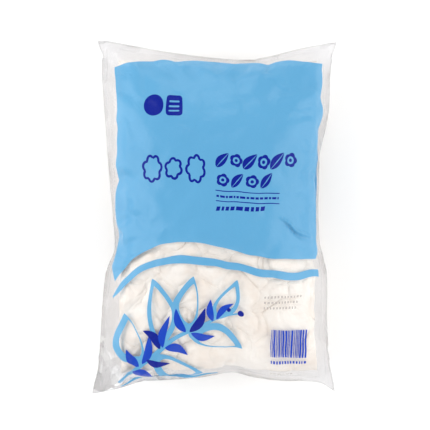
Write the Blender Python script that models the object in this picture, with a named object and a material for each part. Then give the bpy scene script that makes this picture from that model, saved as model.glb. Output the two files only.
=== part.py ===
"""A bag of cotton balls: a clear film bag, sealed all round, packed with soft round balls.

Units are metres and +Z is up. The bag lies on its back with its printed front up, its top
towards +Y and its width along X. The origin is under the middle of the bag, on the surface
that it lies on. The real balls are loose in the bag. Here each stack of balls, from the back
film to the front film, is one solid, so that the whole pack stays a short list of parts.
"""

import math
import random

import bpy
from mathutils import Vector

# The bag, flat sizes as it lies, from corner to corner
BAG_WIDTH = 0.2013
BAG_LENGTH = 0.2920
TOP_LEFT_STEP = 0.0052        # the top left corner lies this far in from the bottom left one
BOTTOM_RIGHT_STEP = 0.0012
BOTTOM_RIGHT_LIFT = 0.0022
TOP_RIGHT_DROP = 0.0020

# How far each side pulls in between its corners: (share of the side, distance)
LEFT_PULL = ((0.0, 0.0), (0.10, 0.0033), (0.25, 0.0062), (0.34, 0.0085), (0.41, 0.0142),
             (0.50, 0.0130), (0.69, 0.0080), (0.90, 0.0024), (1.0, 0.0))
RIGHT_PULL = ((0.0, 0.0), (0.08, 0.0033), (0.18, 0.0058), (0.34, 0.0068), (0.43, 0.0119),
              (0.60, 0.0125), (0.69, 0.0110), (0.79, 0.0057), (0.93, 0.0038), (1.0, 0.0))
BOTTOM_PULL = ((0.0, 0.0), (0.10, 0.0031), (0.20, 0.0078), (0.46, 0.0114), (0.59, 0.0134),
               (0.66, 0.0108), (0.79, 0.0082), (0.94, 0.0060), (1.0, 0.0))
TOP_PULL = ((0.0, 0.0), (0.14, 0.0042), (0.34, 0.0098), (0.59, 0.0139), (0.71, 0.0115),
            (0.85, 0.0049), (1.0, 0.0))

# The film and its seals
FILM_THICKNESS = 0.0003       # real film is about 0.05 mm
SIDE_SEAL = 0.0050
END_SEAL = 0.0045
SEAL_ROOT = 0.0004            # how far inside the seal line the hollow starts
VENT_DIAMETER = 0.0060        # the hole that lets the air out when the packs are stacked
VENT_FROM_TOP = 0.0300
VENT_FROM_MIDDLE = 0.0300

# The filled shape
SEAM_HEIGHT = 0.0240          # the side seams, over the surface that the bag lies on
EAR_DROOP = 0.0090            # the four empty corners hang lower than the seams
FRONT_RISE = 0.0445           # the front film, over the seams
BACK_DROP = 0.0330            # the back film, under the seams if nothing stopped it
FLOOR_BLEND = 0.25            # how softly the back film rolls on to its flat, share of SEAM_HEIGHT
SIDE_SQUARENESS = 2.4
SIDE_FULLNESS = 0.55
END_SQUARENESS = 3.0
END_FULLNESS = 0.66
FOOT_FILL = 0.07              # the lower half is fuller, because the balls settle there
CORNER_SLACK = 0.0006         # the films stand at least this far off the seams in the ears

# The print on the front: a pale blue field with a curved lower edge, and a stripe under it.
# The edges are (share of the print's width, distance), from the bag's foot or from its top seal.
PRINT_FROM_LEFT_SEAL = 0.0075
PRINT_FROM_RIGHT_SEAL = 0.0015
FIELD_FROM_TOP_SEAL = ((0.0, 0.0166), (0.22, 0.0082), (0.55, 0.0023), (0.65, 0.0031),
                       (1.0, 0.0148))
FIELD_FOOT = ((0.0, 0.0920), (0.16, 0.1083), (0.31, 0.1245), (0.40, 0.1238), (0.60, 0.1156),
              (0.79, 0.1101), (1.0, 0.1098))
STRIPE_GAP = 0.0113
STRIPE_WIDTH = 0.0065

# The balls
STACK_ROWS = 10
STACKS_IN_LONG_ROW = 6
BALL_HEIGHT = 0.0252          # one ball, pressed between its neighbours
BALL_GAP = 0.0005             # between balls, and from a ball to the film
NECK_SHARE = 0.34             # how much of a ball's width is squeezed against the next one
EDGE_ROOM = 0.035             # share of the hollow that stays empty at each seal
ROW_SHIFT = 0.15              # how far a ball may lie from its even place, share of the pitch
STACK_SEED = 14

# Mesh fineness
COLUMNS_IN_PRINT = 14
ROWS_UNDER_STRIPE = 8
ROWS_IN_FIELD = 12
ROWS_CROWD_TO_SEAL = 1.35
RING_SIDES = 8
VENT_SIDES = 20

# Colours, roughness
CLEAR_FILM = ((0.90, 0.92, 0.94), 0.20, 0.35)
BLUE_PRINT = ((0.16, 0.47, 0.74), 0.30, 1.0)
COTTON = ((0.90, 0.87, 0.83), 0.95, 1.0)


def clear_scene():
    for old in list(bpy.data.objects):
        bpy.data.objects.remove(old, do_unlink=True)


def make_material(name, look):
    colour, roughness, alpha = look
    material = bpy.data.materials.new(name)
    material.use_nodes = True
    shader = material.node_tree.nodes["Principled BSDF"]
    shader.inputs["Base Color"].default_value = (*colour, 1.0)
    shader.inputs["Roughness"].default_value = roughness
    shader.inputs["Metallic"].default_value = 0.0
    shader.inputs["Alpha"].default_value = alpha
    return material


def through(stations, share):
    """A distance at a share of a side's length: a smooth curve through the side's stations."""
    for k in range(len(stations) - 1):
        here, there = stations[k], stations[k + 1]
        if share <= there[0] or k == len(stations) - 2:
            before = stations[max(k - 1, 0)]
            after = stations[min(k + 2, len(stations) - 1)]
            span = there[0] - here[0]
            slope_here = span * (there[1] - before[1]) / (there[0] - before[0])
            slope_there = span * (after[1] - here[1]) / (after[0] - here[0])
            t = (share - here[0]) / span
            return ((2 * t**3 - 3 * t**2 + 1) * here[1] + (t**3 - 2 * t**2 + t) * slope_here
                    + (3 * t**2 - 2 * t**3) * there[1] + (t**3 - t**2) * slope_there)


def plan_point(u, v):
    """The place in plan of a point at u across the bag, left to right, and v up its length."""
    half_w, half_l = BAG_WIDTH / 2, BAG_LENGTH / 2
    foot_left = Vector((-half_w, -half_l))
    foot_right = Vector((half_w - BOTTOM_RIGHT_STEP, -half_l + BOTTOM_RIGHT_LIFT))
    head_left = Vector((-half_w + TOP_LEFT_STEP, half_l))
    head_right = Vector((half_w, half_l - TOP_RIGHT_DROP))
    left = foot_left.lerp(head_left, v) + Vector((through(LEFT_PULL, v), 0))
    right = foot_right.lerp(head_right, v) - Vector((through(RIGHT_PULL, v), 0))
    foot = foot_left.lerp(foot_right, u) + Vector((0, through(BOTTOM_PULL, u)))
    head = head_left.lerp(head_right, u) - Vector((0, through(TOP_PULL, u)))
    corners = foot_left.lerp(foot_right, u).lerp(head_left.lerp(head_right, u), v)
    return left.lerp(right, u) + foot.lerp(head, v) - corners


def hollow_place(u, v):
    """How far across and along the hollow a point is, from -1 to 1 between the seals."""
    side, end = SIDE_SEAL / BAG_WIDTH, END_SEAL / BAG_LENGTH
    across = (2 * u - 1) / (1 - 2 * side)
    along = (2 * v - 1) / (1 - 2 * end)
    return max(-1.0, min(1.0, across)), max(-1.0, min(1.0, along))


def fill_share(u, v):
    """How full the bag is at a point: 0 in the seals and about 1 in the middle."""
    across, along = hollow_place(u, v)
    side = max(0.0, 1 - abs(across) ** SIDE_SQUARENESS) ** SIDE_FULLNESS
    end = max(0.0, 1 - abs(along) ** END_SQUARENESS) ** END_FULLNESS
    return side * end * (1 - FOOT_FILL * along)


def seam_height(u, v):
    across, along = hollow_place(u, v)
    return SEAM_HEIGHT - EAR_DROOP * abs(across) ** 3 * abs(along) ** 3


def on_floor(height):
    """Rolls a height softly on to the surface under the bag, which holds it at zero."""
    blend = FLOOR_BLEND * SEAM_HEIGHT
    if height >= blend:
        return height
    if height <= -blend:
        return 0.0
    return (height + blend) ** 2 / (4 * blend)


def off_seam(u, v, reach_when_full):
    """How far one film stands off the seam's plane. It lies on the other film in the seals."""
    share = fill_share(u, v)
    return FILM_THICKNESS + (max(CORNER_SLACK, share * reach_when_full) if share > 0 else 0.0)


def front_point(u, v):
    return Vector((*plan_point(u, v), seam_height(u, v) + off_seam(u, v, FRONT_RISE)))


def back_point(u, v):
    height = seam_height(u, v) - off_seam(u, v, BACK_DROP)
    return Vector((*plan_point(u, v), on_floor(height)))


def print_span():
    """The print's left and right edges, as shares of the bag's width."""
    left = SIDE_SEAL + PRINT_FROM_LEFT_SEAL
    right = SIDE_SEAL + PRINT_FROM_RIGHT_SEAL
    return left / BAG_WIDTH, 1 - right / BAG_WIDTH


def bag_columns():
    """Stations across the bag: the edge, the seal line, the print's edges, and between them."""
    seal = SIDE_SEAL / BAG_WIDTH
    left, right = print_span()
    turn = 0.5 * (seal + left)
    between = [left + (right - left) * (0.5 - 0.5 * math.cos(math.pi * k / COLUMNS_IN_PRINT))
               for k in range(1, COLUMNS_IN_PRINT)]
    return [0.0, seal, turn, left, *between, right, 1 - seal, 1.0]


def bag_rows(u):
    """Stations up the bag in one column. They follow the curved edges of the print."""
    seal = END_SEAL / BAG_LENGTH
    left, right = print_span()
    share = max(0.0, min(1.0, (u - left) / (right - left)))
    field_low = through(FIELD_FOOT, share) / BAG_LENGTH
    stripe_high = field_low - STRIPE_GAP / BAG_LENGTH
    stripe_low = stripe_high - STRIPE_WIDTH / BAG_LENGTH
    field_high = 1 - seal - through(FIELD_FROM_TOP_SEAL, share) / BAG_LENGTH
    low = [seal + (stripe_low - seal) * (k / ROWS_UNDER_STRIPE) ** ROWS_CROWD_TO_SEAL
           for k in range(ROWS_UNDER_STRIPE)]
    high = [field_low + (field_high - field_low) * math.sin(0.5 * math.pi * k / ROWS_IN_FIELD)
            for k in range(ROWS_IN_FIELD)]
    return [0.0, *low, stripe_low, stripe_high, *high, field_high, 1 - seal, 1.0]


def grid_points(point):
    return [[point(u, v) for v in bag_rows(u)] for u in bag_columns()]


def slope_normal(grid, i, j):
    """The unit normal of a grid of points at one of its inner points, facing up."""
    across = grid[i + 1][j] - grid[i - 1][j]
    along = grid[i][j + 1] - grid[i][j - 1]
    return across.cross(along).normalized()


def step_inward(k, last):
    """Which way a grid line on the seal has the hollow: 1, -1, or 0 for a line off the seal."""
    return {1: 1, last - 1: -1}.get(k, 0)


def inner_grid(outer, side):
    """The inside face of one film. Both films meet just inside the seal line, halfway up."""
    last_i, last_j = len(outer) - 1, len(outer[0]) - 1
    inner = [list(column) for column in outer]
    for i in range(1, last_i):
        for j in range(1, last_j):
            across, along = step_inward(i, last_i), step_inward(j, last_j)
            if across or along:
                inward = outer[i + across][j + along] - outer[i][j]
                inward.z = 0
                inner[i][j] = (outer[i][j] + SEAL_ROOT * inward.normalized()
                               - Vector((0, 0, side * FILM_THICKNESS)))
            else:
                normal = slope_normal(outer, i, j)
                inner[i][j] = outer[i][j] - side * FILM_THICKNESS * normal
    return inner


def build_film(front, back, front_in, back_in, materials):
    """The bag: two films, welded in a flat seal all round, with the hollow between them."""
    columns, rows = len(front), len(front[0])
    points, places = [], {}

    def place(grid_name, grid, i, j):
        key = (grid_name, i, j)
        if key not in places:
            places[key] = len(points)
            points.append(grid[i][j])
        return places[key]

    def inside(grid_name, grid, i, j):
        on_seal = i in (1, columns - 2) or j in (1, rows - 2)
        return place("seal" if on_seal else grid_name, grid, i, j)

    faces, prints = [], []

    def add_square(placing, name, grid, square, printed, facing_up):
        """Two triangles. All four films' squares are cut along the same diagonal of the front."""
        a, b, c, d = square
        short_way = (front[a[0]][a[1]] - front[c[0]][c[1]]).length < (
            front[b[0]][b[1]] - front[d[0]][d[1]]).length
        for triangle in ((a, b, c), (a, c, d)) if short_way else ((a, b, d), (b, c, d)):
            ordered = triangle if facing_up else triangle[::-1]
            faces.append([placing(name, grid, *corner) for corner in ordered])
            prints.append(1 if printed else 0)

    print_columns = range(3, columns - 3)
    stripe_row = 1 + ROWS_UNDER_STRIPE
    field_rows = range(stripe_row + 2, stripe_row + 2 + ROWS_IN_FIELD)
    for i in range(columns - 1):
        for j in range(rows - 1):
            square = ((i, j), (i + 1, j), (i + 1, j + 1), (i, j + 1))
            printed = i in print_columns and (j in field_rows or j == stripe_row)
            add_square(place, "front", front, square, printed, True)
            add_square(place, "back", back, square, False, False)
            if 1 <= i < columns - 2 and 1 <= j < rows - 2:
                add_square(inside, "front_in", front_in, square, False, False)
                add_square(inside, "back_in", back_in, square, False, True)
    rim = [(i, 0) for i in range(columns - 1)] + [(columns - 1, j) for j in range(rows - 1)]
    rim += [(i, rows - 1) for i in range(columns - 1, 0, -1)] + [(0, j) for j in range(rows - 1, 0, -1)]
    for here, there in zip(rim, rim[1:] + rim[:1]):
        faces.append([place("back", back, *here), place("back", back, *there),
                      place("front", front, *there), place("front", front, *here)])
        prints.append(0)

    mesh = bpy.data.meshes.new("bag_film")
    mesh.from_pydata([tuple(point) for point in points], [], faces)
    for material in materials:
        mesh.materials.append(material)
    mesh.polygons.foreach_set("material_index", prints)
    mesh.shade_smooth()
    mesh.set_sharp_from_angle(angle=math.radians(50))
    film = bpy.data.objects.new("bag_film", mesh)
    bpy.context.collection.objects.link(film)
    return film


def inside_map(front_in, back_in):
    """A function from (u, v, lift) to a point in the hollow, lift 0 on the back film, 1 on the front."""
    columns = bag_columns()
    rows = [bag_rows(u) for u in columns]

    def locate(stations, value):
        for k in range(len(stations) - 1):
            if value <= stations[k + 1]:
                break
        return k, (value - stations[k]) / (stations[k + 1] - stations[k])

    def point(u, v, lift):
        i, s = locate(columns, u)
        heights = [low + (high - low) * s for low, high in zip(rows[i], rows[i + 1])]
        j, t = locate(heights, v)
        back = back_in[i][j].lerp(back_in[i + 1][j], s).lerp(
            back_in[i][j + 1].lerp(back_in[i + 1][j + 1], s), t)
        front = front_in[i][j].lerp(front_in[i + 1][j], s).lerp(
            front_in[i][j + 1].lerp(front_in[i + 1][j + 1], s), t)
        return back.lerp(front, lift)

    return point


def hollow_limits():
    """The flat rectangle that the balls lie in, as distances from the bag's lower left corner."""
    side = SIDE_SEAL + EDGE_ROOM * BAG_WIDTH
    end = END_SEAL + EDGE_ROOM * BAG_LENGTH
    return side, BAG_WIDTH - side, end, BAG_LENGTH - end


def stack_centres():
    """Places of the stacks in staggered rows, on the bag laid flat."""
    left, right, low, high = hollow_limits()
    chance = random.Random(STACK_SEED)
    row_pitch = (high - low) / STACK_ROWS
    pitch = (right - left) / STACKS_IN_LONG_ROW
    centres = []
    for row in range(STACK_ROWS):
        in_row = STACKS_IN_LONG_ROW - row % 2
        first = left + pitch / 2 * (1 + row % 2)
        for place in range(in_row):
            x = first + pitch * (place + chance.uniform(-ROW_SHIFT, ROW_SHIFT))
            y = low + row_pitch * (row + 0.5 + chance.uniform(-ROW_SHIFT, ROW_SHIFT))
            centres.append(Vector((x, y)))
    return centres


def reach(centre, centres, direction):
    """How far a stack may grow in one direction, to half the gap before its neighbour's share."""
    left, right, low, high = hollow_limits()
    limits = []
    if abs(direction.x) > 1e-9:
        limits.append(((right if direction.x > 0 else left) - centre.x) / direction.x)
    if abs(direction.y) > 1e-9:
        limits.append(((high if direction.y > 0 else low) - centre.y) / direction.y)
    for other in centres:
        to_other = other - centre
        forward = direction.dot(to_other)
        if forward > 1e-9:
            limits.append((to_other.length_squared / 2 - BALL_GAP / 2 * to_other.length) / forward)
    return min(limits)


def build_stack(name, centre, centres, inside, material):
    """One stack of balls as a turned shape: wide at each ball, narrow where two balls press."""
    u, v = centre.x / BAG_WIDTH, centre.y / BAG_LENGTH
    height = (inside(u, v, 1) - inside(u, v, 0)).length
    balls = max(1, round(height / BALL_HEIGHT))
    ball_rings = ((0.14, 0.74), (0.50, 1.0), (0.86, 0.74))
    rings = []
    for ball in range(balls):
        rings += [((ball + lift) / balls, width) for lift, width in ball_rings]
        if ball < balls - 1:
            rings.append(((ball + 1) / balls, NECK_SHARE))
    directions = [Vector((math.cos(math.tau * k / RING_SIDES), math.sin(math.tau * k / RING_SIDES)))
                  for k in range(RING_SIDES)]
    widths = [reach(centre, centres, direction) for direction in directions]
    clear = BALL_GAP / height
    points = []
    for lift, width in rings:
        for direction, widest in zip(directions, widths):
            place = centre + direction * widest * width
            points.append(inside(place.x / BAG_WIDTH, place.y / BAG_LENGTH,
                                 clear + (1 - 2 * clear) * lift))
    foot, head = len(points), len(points) + 1
    points += [inside(u, v, clear), inside(u, v, 1 - clear)]
    faces = []
    for k in range(RING_SIDES):
        after = (k + 1) % RING_SIDES
        faces.append((foot, after, k))
        for ring in range(len(rings) - 1):
            low, high = ring * RING_SIDES, (ring + 1) * RING_SIDES
            faces.append((low + k, low + after, high + after, high + k))
        top = (len(rings) - 1) * RING_SIDES
        faces.append((top + k, top + after, head))
    mesh = bpy.data.meshes.new(name)
    mesh.from_pydata([tuple(point) for point in points], [], faces)
    mesh.materials.append(material)
    mesh.shade_smooth()
    stack = bpy.data.objects.new(name, mesh)
    bpy.context.collection.objects.link(stack)
    return balls


def cut_vent(film, back):
    """The round vent through the back film, near the top, where the back has left the floor."""
    u = 0.5 + VENT_FROM_MIDDLE / BAG_WIDTH
    v = 1 - VENT_FROM_TOP / BAG_LENGTH
    hole = back_point(u, v)
    half = 0.25 * (front_point(u, v).z - hole.z)
    bpy.ops.mesh.primitive_cylinder_add(vertices=VENT_SIDES, radius=VENT_DIAMETER / 2,
                                        depth=2 * half, location=hole)
    cutter = bpy.context.object
    cutter.name = "vent_cutter"
    cutter.hide_render = True
    cutter.display_type = "WIRE"
    cut = film.modifiers.new("vent", "BOOLEAN")
    cut.operation = "DIFFERENCE"
    cut.solver = "MANIFOLD"
    cut.object = cutter


def main():
    clear_scene()
    film_look = make_material("clear_film", CLEAR_FILM)
    print_look = make_material("blue_print", BLUE_PRINT)
    cotton = make_material("cotton", COTTON)
    front, back = grid_points(front_point), grid_points(back_point)
    front_in, back_in = inner_grid(front, 1), inner_grid(back, -1)
    film = build_film(front, back, front_in, back_in, (film_look, print_look))
    cut_vent(film, back)
    inside = inside_map(front_in, back_in)
    centres = stack_centres()
    total = 0
    for k, centre in enumerate(centres):
        total += build_stack(f"cotton_stack_{k + 1:02d}", centre, centres, inside, cotton)
    print(f"{len(centres)} stacks, {total} balls")


main()
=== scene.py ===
# %% [markdown]
# # A bag of cotton balls
# The real object is a clear film bag, welded shut all round and packed with soft cotton balls.
# It lies on its back. Its front film is printed: a pale blue field with a curved foot, a stripe,
# a few dark blue marks and a leaf figure. Under the field the film is clear and the balls show.
#
# The frame already holds the bag and the stacks of balls at their real size. This script gives
# them their looks. The film becomes one thin skin with creases from a cloth simulation, cut
# along the edges of its print. Each stack becomes its single, fluffy balls.

# %% Load the frame
import math
import random

import bmesh
import bpy
import numpy as np
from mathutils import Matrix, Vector, geometry, kdtree, noise


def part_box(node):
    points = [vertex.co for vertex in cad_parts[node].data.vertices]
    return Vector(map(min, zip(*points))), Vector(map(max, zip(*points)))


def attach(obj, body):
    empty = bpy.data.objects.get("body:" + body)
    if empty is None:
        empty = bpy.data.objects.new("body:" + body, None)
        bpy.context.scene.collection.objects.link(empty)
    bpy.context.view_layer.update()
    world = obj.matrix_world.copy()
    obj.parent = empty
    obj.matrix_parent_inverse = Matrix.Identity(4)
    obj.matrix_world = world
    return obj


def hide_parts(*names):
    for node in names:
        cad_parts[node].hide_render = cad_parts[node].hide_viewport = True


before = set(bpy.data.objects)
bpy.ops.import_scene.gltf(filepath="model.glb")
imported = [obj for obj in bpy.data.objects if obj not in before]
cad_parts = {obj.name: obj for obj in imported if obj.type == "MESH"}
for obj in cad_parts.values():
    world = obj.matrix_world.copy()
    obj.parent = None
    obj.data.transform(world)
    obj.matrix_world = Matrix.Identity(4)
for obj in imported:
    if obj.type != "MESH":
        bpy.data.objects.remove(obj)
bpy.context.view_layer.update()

film_low, film_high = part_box("bag_film")
BAG_WIDTH = film_high.x - film_low.x
BAG_LENGTH = film_high.y - film_low.y
stack_names = sorted(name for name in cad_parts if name.startswith("cotton_stack"))
print(f"bag {BAG_WIDTH * 1000:.1f} x {BAG_LENGTH * 1000:.1f} mm,", len(stack_names),
      "stacks of balls")

# %% [markdown]
# ## The camera
# The photograph looks straight at the printed front, so the camera hangs over the bag and looks
# down. A long lens keeps the outline true. The distance makes the image as wide as the real
# strip of table that it shows, measured in the plane of the bag's seams.

# %% Hang the camera over the bag
SEAM_HEIGHT = 0.0240
IMAGE_WIDTH = 0.3525          # what the image shows across, in the plane of the seams
LENS_MM, SENSOR_MM = 100, 36
CAMERA_OFFSET = (0.0005, 0.0013)

camera = bpy.data.objects.new("camera", bpy.data.cameras.new("camera"))
bpy.context.collection.objects.link(camera)
camera.data.lens = LENS_MM
camera.data.sensor_width = SENSOR_MM
camera.location = (*CAMERA_OFFSET, SEAM_HEIGHT + IMAGE_WIDTH * LENS_MM / SENSOR_MM)
bpy.context.scene.camera = camera
print(f"camera {camera.location.z:.3f} m over the table")

# %% [markdown]
# ## The bag's shape
# Laid flat, the bag is a rectangle. A point on it is u across, from left to right, and v up its
# length, both from 0 to 1. Filling it lifts the front film, presses the back film on to the
# table and pulls each side in between its corners. These are the same sizes as the frame's, so
# the skin lies where the frame's film is. The formulas work on whole arrays of points at once.

# %% The outline in plan
TOP_LEFT_STEP = 0.0052
BOTTOM_RIGHT_STEP, BOTTOM_RIGHT_LIFT = 0.0012, 0.0022
TOP_RIGHT_DROP = 0.0020
# share of the way along a side, and how far the filling pulls it in there, in metres
LEFT_PULL = ((0.0, 0.0), (0.10, 0.0033), (0.25, 0.0062), (0.34, 0.0085), (0.41, 0.0142),
             (0.50, 0.0130), (0.69, 0.0080), (0.90, 0.0024), (1.0, 0.0))
RIGHT_PULL = ((0.0, 0.0), (0.08, 0.0033), (0.18, 0.0058), (0.34, 0.0068), (0.43, 0.0119),
              (0.60, 0.0125), (0.69, 0.0110), (0.79, 0.0057), (0.93, 0.0038), (1.0, 0.0))
BOTTOM_PULL = ((0.0, 0.0), (0.10, 0.0031), (0.20, 0.0078), (0.46, 0.0114), (0.59, 0.0134),
               (0.66, 0.0108), (0.79, 0.0082), (0.94, 0.0060), (1.0, 0.0))
TOP_PULL = ((0.0, 0.0), (0.14, 0.0042), (0.34, 0.0098), (0.59, 0.0139), (0.71, 0.0115),
            (0.85, 0.0049), (1.0, 0.0))


def through(stations, share):
    """A smooth curve through (share, distance) stations, for an array of shares."""
    places, values = np.array(stations).T
    last = len(places) - 1
    index = np.arange(last + 1)
    before, after = np.maximum(index - 1, 0), np.minimum(index + 1, last)
    slopes = (values[after] - values[before]) / (places[after] - places[before])
    k = np.clip(np.searchsorted(places, share) - 1, 0, last - 1)
    span = places[k + 1] - places[k]
    t = (share - places[k]) / span
    return ((2 * t**3 - 3 * t**2 + 1) * values[k] + (t**3 - 2 * t**2 + t) * span * slopes[k]
            + (3 * t**2 - 2 * t**3) * values[k + 1] + (t**3 - t**2) * span * slopes[k + 1])


def plan_places(u, v):
    """Places in plan, x and y, of points on the bag."""
    half_w, half_l = BAG_WIDTH / 2, BAG_LENGTH / 2
    foot_left = np.array((-half_w, -half_l))
    foot_right = np.array((half_w - BOTTOM_RIGHT_STEP, -half_l + BOTTOM_RIGHT_LIFT))
    head_left = np.array((-half_w + TOP_LEFT_STEP, half_l))
    head_right = np.array((half_w, half_l - TOP_RIGHT_DROP))
    u, v = u[:, None], v[:, None]
    nothing = np.zeros_like(u)
    left_pull, right_pull = (np.hstack((through(pull, v), nothing))
                             for pull in (LEFT_PULL, RIGHT_PULL))
    left = foot_left + (head_left - foot_left) * v + left_pull
    right = foot_right + (head_right - foot_right) * v - right_pull
    foot_line = foot_left + (foot_right - foot_left) * u
    head_line = head_left + (head_right - head_left) * u
    foot = foot_line + np.hstack((nothing, through(BOTTOM_PULL, u)))
    head = head_line - np.hstack((nothing, through(TOP_PULL, u)))
    corners = foot_line + (head_line - foot_line) * v
    return left + (right - left) * u + foot + (head - foot) * v - corners


waist = plan_places(np.array((0.0, 1.0)), np.array((0.5, 0.5)))[:, 0]
print(f"half way up, the filled bag is {(waist[1] - waist[0]) * 1000:.1f} mm wide")

# %% [markdown]
# ## How the two films swell
# Between its seals the bag swells like a pillow: full in the middle and steep close to the
# seams. Powers of the distance from the middle give that form across and along. The corners
# stay thin and droop as ears. Where the back film meets the table it rolls out flat.

# %% The swell of the two films
FILM_THICKNESS = 0.0003
SIDE_SEAL, END_SEAL = 0.0050, 0.0045
EAR_DROOP = 0.0090            # the corners hang this far under the seam's height
FRONT_RISE, BACK_DROP = 0.0445, 0.0330
FLOOR_BLEND = 0.25            # how softly the back film rolls on to the table
SIDE_SQUARENESS, SIDE_FULLNESS = 2.4, 0.55
END_SQUARENESS, END_FULLNESS = 3.0, 0.66
FOOT_FILL = 0.07              # the foot is this much fuller than the head
CORNER_SLACK = 0.0006         # at least this far from the seam's height inside the seals
RIM_ROUNDING = 0.0010         # the two films close on each other over this last bit


def film_places(u, v, side):
    """Points on the smooth filled bag, side 1 for the front film and -1 for the back film."""
    across = np.clip((2 * u - 1) / (1 - 2 * SIDE_SEAL / BAG_WIDTH), -1, 1)
    along = np.clip((2 * v - 1) / (1 - 2 * END_SEAL / BAG_LENGTH), -1, 1)
    share = ((1 - np.abs(across) ** SIDE_SQUARENESS) ** SIDE_FULLNESS
             * (1 - np.abs(along) ** END_SQUARENESS) ** END_FULLNESS * (1 - FOOT_FILL * along))
    seam = SEAM_HEIGHT - EAR_DROOP * np.abs(across) ** 3 * np.abs(along) ** 3
    to_rim = np.minimum(np.minimum(u, 1 - u) * BAG_WIDTH, np.minimum(v, 1 - v) * BAG_LENGTH)
    skin = FILM_THICKNESS * np.clip(to_rim / RIM_ROUNDING, 0, 1)
    rise = FRONT_RISE if side > 0 else BACK_DROP
    height = seam + side * (skin + np.where(share > 0, np.maximum(CORNER_SLACK, share * rise), 0))
    blend = FLOOR_BLEND * SEAM_HEIGHT
    rolled = np.where(height > -blend, (height + blend) ** 2 / (4 * blend), 0.0)
    height = np.where(height >= blend, height, rolled)
    return np.column_stack((plan_places(u, v), height))


crown = film_places(np.array((0.5,)), np.array((0.5,)), 1)[0, 2]
print(f"the smooth bag is {crown * 1000:.1f} mm high in its middle")

# %% [markdown]
# ## Creases from a cloth simulation
# Film hardly stretches. A flat bag that is filled has too much film near its seams, and that
# film has to go somewhere: it puckers. Cloth can find those puckers. The start is the filled
# shape, the rest lengths are those of the flat bag, and a little pressure holds it up.

# %% A coarse skin for the simulation
SKIN_COLUMNS, SKIN_ROWS = 84, 122
FLAT_WIDTH, FLAT_LENGTH = 0.2016, 0.2926
START_RIPPLE, RIPPLE_WIDTH_CELLS = 0.0010, 2.2
RIPPLE_SEED = 5

skin_u, skin_v = (a.ravel() for a in np.meshgrid(
    np.linspace(0, 1, SKIN_COLUMNS + 1), np.linspace(0, 1, SKIN_ROWS + 1), indexing="ij"))
skin_index = np.arange(len(skin_u)).reshape(SKIN_COLUMNS + 1, SKIN_ROWS + 1)
on_rim = (skin_u == 0) | (skin_u == 1) | (skin_v == 0) | (skin_v == 1)
back_of = np.where(on_rim, np.arange(len(skin_u)), len(skin_u) + np.cumsum(~on_rim) - 1)


def skin_faces(index, facing_up):
    """Squares of one film, over an array that names the points."""
    squares = np.stack((index[:-1, :-1], index[1:, :-1], index[1:, 1:], index[:-1, 1:]), -1)
    squares = squares.reshape(-1, 4)
    return squares if facing_up else squares[:, ::-1]


def inflate(points, flat_points, faces, frames):
    """Runs the film as cloth from points, with the rest lengths of flat_points."""
    mesh = bpy.data.meshes.new("skin")
    mesh.from_pydata(points.tolist(), [], faces.tolist())
    skin = bpy.data.objects.new("skin", mesh)
    bpy.context.collection.objects.link(skin)
    skin.shape_key_add(name="filled")
    flat = skin.shape_key_add(name="flat")
    flat.data.foreach_set("co", flat_points.ravel())
    modifier = skin.modifiers.new("film", "CLOTH")
    cloth = modifier.settings
    cloth.rest_shape_key = flat
    cloth.quality = 5
    cloth.mass = 0.02
    cloth.tension_stiffness = cloth.compression_stiffness = 30
    cloth.shear_stiffness = 12
    cloth.bending_stiffness = 1.0
    cloth.tension_damping = cloth.compression_damping = cloth.shear_damping = 8
    cloth.air_damping = 4
    cloth.use_pressure = True
    cloth.uniform_pressure_force = 6
    cloth.effector_weights.gravity = 0
    modifier.point_cache.frame_end = frames
    scene = bpy.context.scene
    for step in range(1, frames + 1):
        scene.frame_set(step)
    evaluated = skin.evaluated_get(bpy.context.evaluated_depsgraph_get()).to_mesh()
    result = np.empty(len(points) * 3)
    evaluated.vertices.foreach_get("co", result)
    scene.frame_set(1)
    bpy.data.objects.remove(skin)
    return result.reshape(-1, 3)


print(f"coarse skin: {len(skin_u)} points on each film, {on_rim.sum()} of them on its edge")

# %% [markdown]
# ## Keep the small movements
# The cloth moves in two ways. The large, slow movements would change the outline, which the
# frame has fixed. The small ones are the creases. So the movement is blurred, the blur is taken
# away from it, and what is left goes on to the smooth shape.

# %% Run the cloth
SIM_FRAMES = 26
CREASE_LIMIT = 0.0060         # no crease moves the film further than this
CREASE_WIDTH_CELLS = 5        # wider movements than this are left out


def soften(field, cells):
    """A blur over the grid of the skin, with a bell of that width in cells."""
    reach = int(3 * cells)
    bell = np.exp(-0.5 * (np.arange(-reach, reach + 1) / cells) ** 2)
    bell /= bell.sum()
    for axis in (0, 1):
        padding = [(0, 0)] * field.ndim
        padding[axis] = (reach, reach)
        wide = np.pad(field, padding, mode="edge")
        field = np.apply_along_axis(lambda line: np.convolve(line, bell, "valid"), axis, wide)
    return field


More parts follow.
